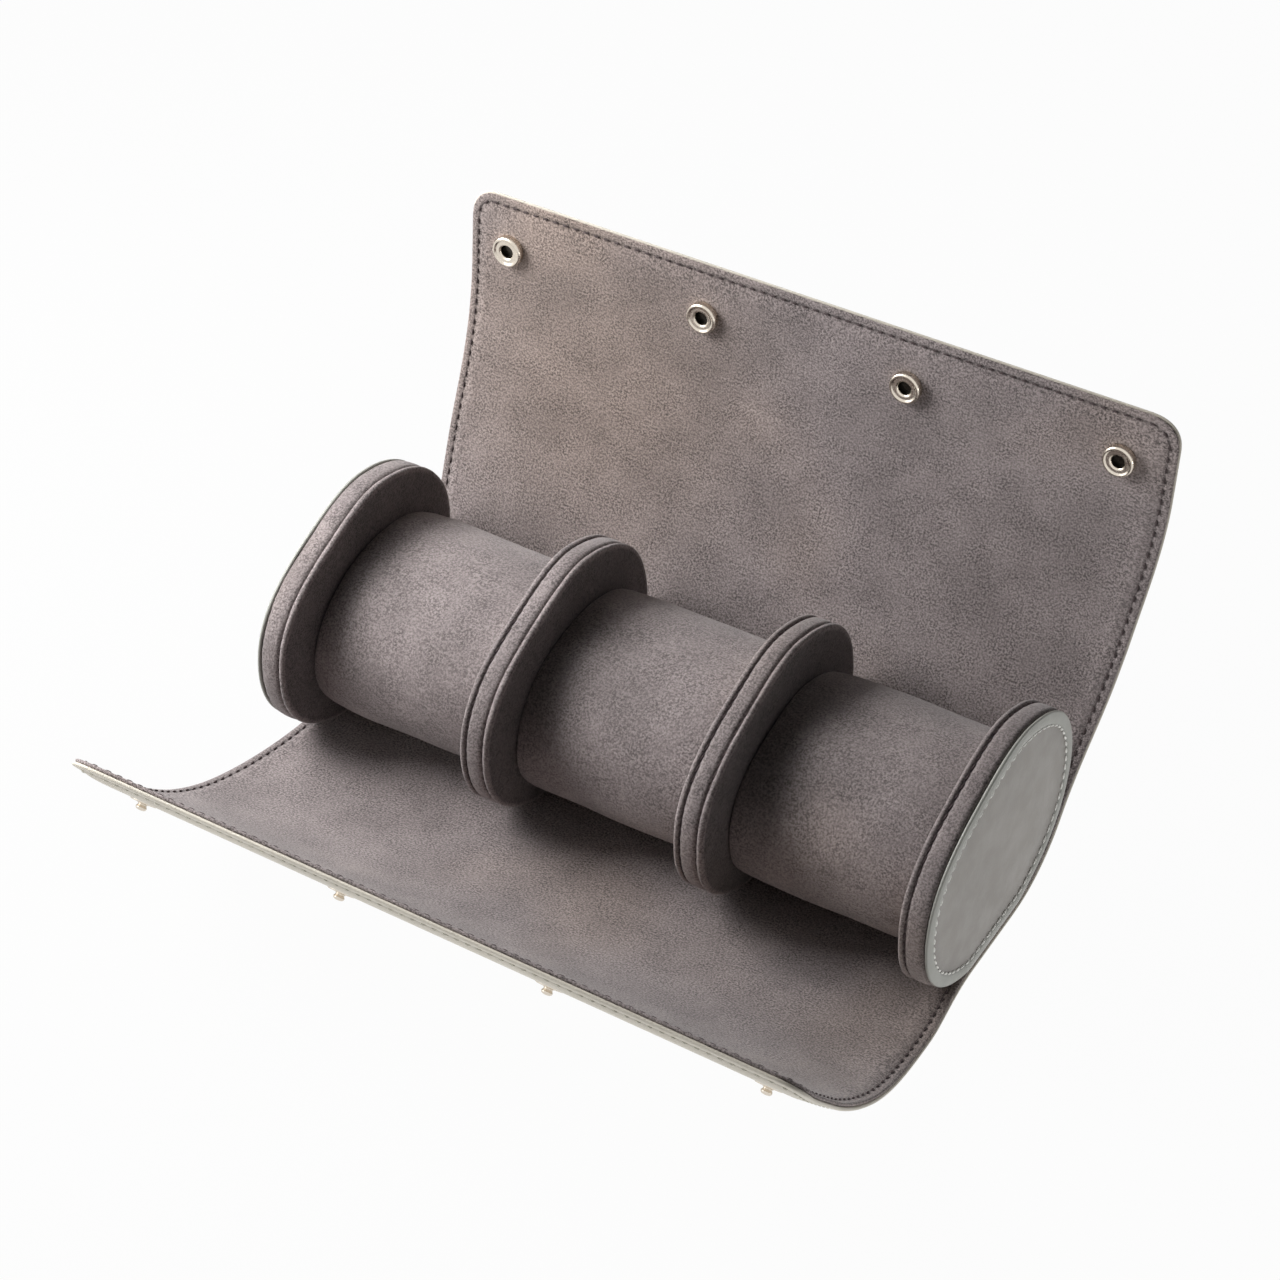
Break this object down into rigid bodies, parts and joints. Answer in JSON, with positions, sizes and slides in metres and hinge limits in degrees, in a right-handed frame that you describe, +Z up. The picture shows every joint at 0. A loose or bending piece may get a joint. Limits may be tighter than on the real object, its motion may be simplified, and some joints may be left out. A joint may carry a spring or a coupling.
{
  "type": "watch roll",
  "caption": "Soft roll case for watches: a leather wrap lined with suede curls round oval dividers with lift-out watch cushions between them and closes with snaps.",
  "frame": {"origin": "on the surface that the roll stands on, under the middle of the dividers, half way along the roll", "axes": "+X along the roll, from its left end to its right end; +Y towards the tall back flap with the sockets; +Z up"},
  "size_m": [0.203, 0.1892, 0.1172],
  "materials": {
    "suede": "matte",
    "leather": "satin",
    "board": "matte",
    "foam": "matte",
    "nickel": "polished"
  },
  "bodies": {
    "wrap_base": {"wrap_leather_base": "leather", "wrap_lining_base": "suede", "divider_1_core": "board", "divider_1_band": "suede", "end_cap_leather_left": "leather", "divider_1_right_face": "suede", "divider_2_core": "board", "divider_2_band": "suede", "divider_2_left_face": "suede", "divider_2_right_face": "suede", "divider_3_core": "board", "divider_3_band": "suede", "divider_3_left_face": "suede", "divider_3_right_face": "suede", "divider_4_core": "board", "divider_4_band": "suede", "divider_4_left_face": "suede", "end_cap_leather_right": "leather"},
    "back_flap_1": {"back_flap_leather_1": "leather", "back_flap_lining_1": "suede"},
    "back_flap_2": {"back_flap_leather_2": "leather", "back_flap_lining_2": "suede"},
    "back_flap_3": {"back_flap_leather_3": "leather", "back_flap_lining_3": "suede"},
    "back_flap_4": {"back_flap_leather_4": "leather", "back_flap_lining_4": "suede"},
    "back_flap_5": {"back_flap_leather_5": "leather", "back_flap_lining_5": "suede", "snap_socket_1": "nickel", "snap_socket_2": "nickel", "snap_socket_3": "nickel", "snap_socket_4": "nickel"},
    "front_flap_1": {"front_flap_leather_1": "leather", "front_flap_lining_1": "suede"},
    "front_flap_2": {"front_flap_leather_2": "leather", "front_flap_lining_2": "suede"},
    "front_flap_3": {"front_flap_leather_3": "leather", "front_flap_lining_3": "suede"},
    "front_flap_4": {"front_flap_leather_4": "leather", "front_flap_lining_4": "suede"},
    "front_flap_5": {"front_flap_leather_5": "leather", "front_flap_lining_5": "suede", "snap_stud_1": "nickel", "snap_stud_2": "nickel", "snap_stud_3": "nickel", "snap_stud_4": "nickel"},
    "cushion_1": {"cushion_1_sleeve": "suede", "cushion_1_left_end": "suede", "cushion_1_right_end": "suede", "cushion_1_core": "foam"},
    "cushion_2": {"cushion_2_sleeve": "suede", "cushion_2_left_end": "suede", "cushion_2_right_end": "suede", "cushion_2_core": "foam"},
    "cushion_3": {"cushion_3_sleeve": "suede", "cushion_3_left_end": "suede", "cushion_3_right_end": "suede", "cushion_3_core": "foam"}
  },
  "joints": [
    {"name": "back_flap_bend_1", "type": "hinge", "parent": "wrap_base", "child": "back_flap_1", "pos_m": [0, 0.03673, 0.016], "axis": [-1, 0, 0], "range_deg": [-15.32, 3.08]},
    {"name": "back_flap_bend_2", "type": "hinge", "parent": "back_flap_1", "child": "back_flap_2", "pos_m": [0, 0.04827, 0.03378], "axis": [-1, 0, 0], "range_deg": [-35.92, 7.18]},
    {"name": "back_flap_bend_3", "type": "hinge", "parent": "back_flap_2", "child": "back_flap_3", "pos_m": [0, 0.05871, 0.05223], "axis": [-1, 0, 0], "range_deg": [-20.97, 4.21]},
    {"name": "back_flap_bend_4", "type": "hinge", "parent": "back_flap_3", "child": "back_flap_4", "pos_m": [0, 0.06699, 0.07173], "axis": [-1, 0, 0], "range_deg": [-15.53, 3.12]},
    {"name": "back_flap_bend_5", "type": "hinge", "parent": "back_flap_4", "child": "back_flap_5", "pos_m": [0, 0.07157, 0.09238], "axis": [-1, 0, 0], "range_deg": [-14.99, 3.01]},
    {"name": "front_flap_bend_1", "type": "hinge", "parent": "wrap_base", "child": "front_flap_1", "pos_m": [0, -0.01588, 0.0028], "axis": [1, 0, 0], "range_deg": [-14.34, 2.88]},
    {"name": "front_flap_bend_2", "type": "hinge", "parent": "front_flap_1", "child": "front_flap_2", "pos_m": [0, -0.03704, 0.00521], "axis": [1, 0, 0], "range_deg": [-43.06, 8.61]},
    {"name": "front_flap_bend_3", "type": "hinge", "parent": "front_flap_2", "child": "front_flap_3", "pos_m": [0, -0.05768, 0.01036], "axis": [1, 0, 0], "range_deg": [-19.74, 3.96]},
    {"name": "front_flap_bend_4", "type": "hinge", "parent": "front_flap_3", "child": "front_flap_4", "pos_m": [0, -0.07641, 0.02032], "axis": [1, 0, 0], "range_deg": [-13.42, 2.7]},
    {"name": "front_flap_bend_5", "type": "hinge", "parent": "front_flap_4", "child": "front_flap_5", "pos_m": [0, -0.09169, 0.03508], "axis": [1, 0, 0], "range_deg": [-30.84, 6.18]},
    {"name": "cushion_1_lift", "type": "slide", "parent": "wrap_base", "child": "cushion_1", "axis": [0, 0, 1], "range_m": [0, 0.12]},
    {"name": "cushion_2_lift", "type": "slide", "parent": "wrap_base", "child": "cushion_2", "axis": [0, 0, 1], "range_m": [0, 0.12]},
    {"name": "cushion_3_lift", "type": "slide", "parent": "wrap_base", "child": "cushion_3", "axis": [0, 0, 1], "range_m": [0, 0.12]}
  ],
  "couplings": [
    {"joint": "back_flap_bend_1", "follows": "back_flap_bend_2", "ratio": 0.42594},
    {"joint": "back_flap_bend_3", "follows": "back_flap_bend_2", "ratio": 0.58318},
    {"joint": "back_flap_bend_4", "follows": "back_flap_bend_2", "ratio": 0.43199},
    {"joint": "back_flap_bend_5", "follows": "back_flap_bend_2", "ratio": 0.41691},
    {"joint": "front_flap_bend_1", "follows": "front_flap_bend_2", "ratio": 0.33258},
    {"joint": "front_flap_bend_3", "follows": "front_flap_bend_2", "ratio": 0.45796},
    {"joint": "front_flap_bend_4", "follows": "front_flap_bend_2", "ratio": 0.31133},
    {"joint": "front_flap_bend_5", "follows": "front_flap_bend_2", "ratio": 0.71578}
  ]
}
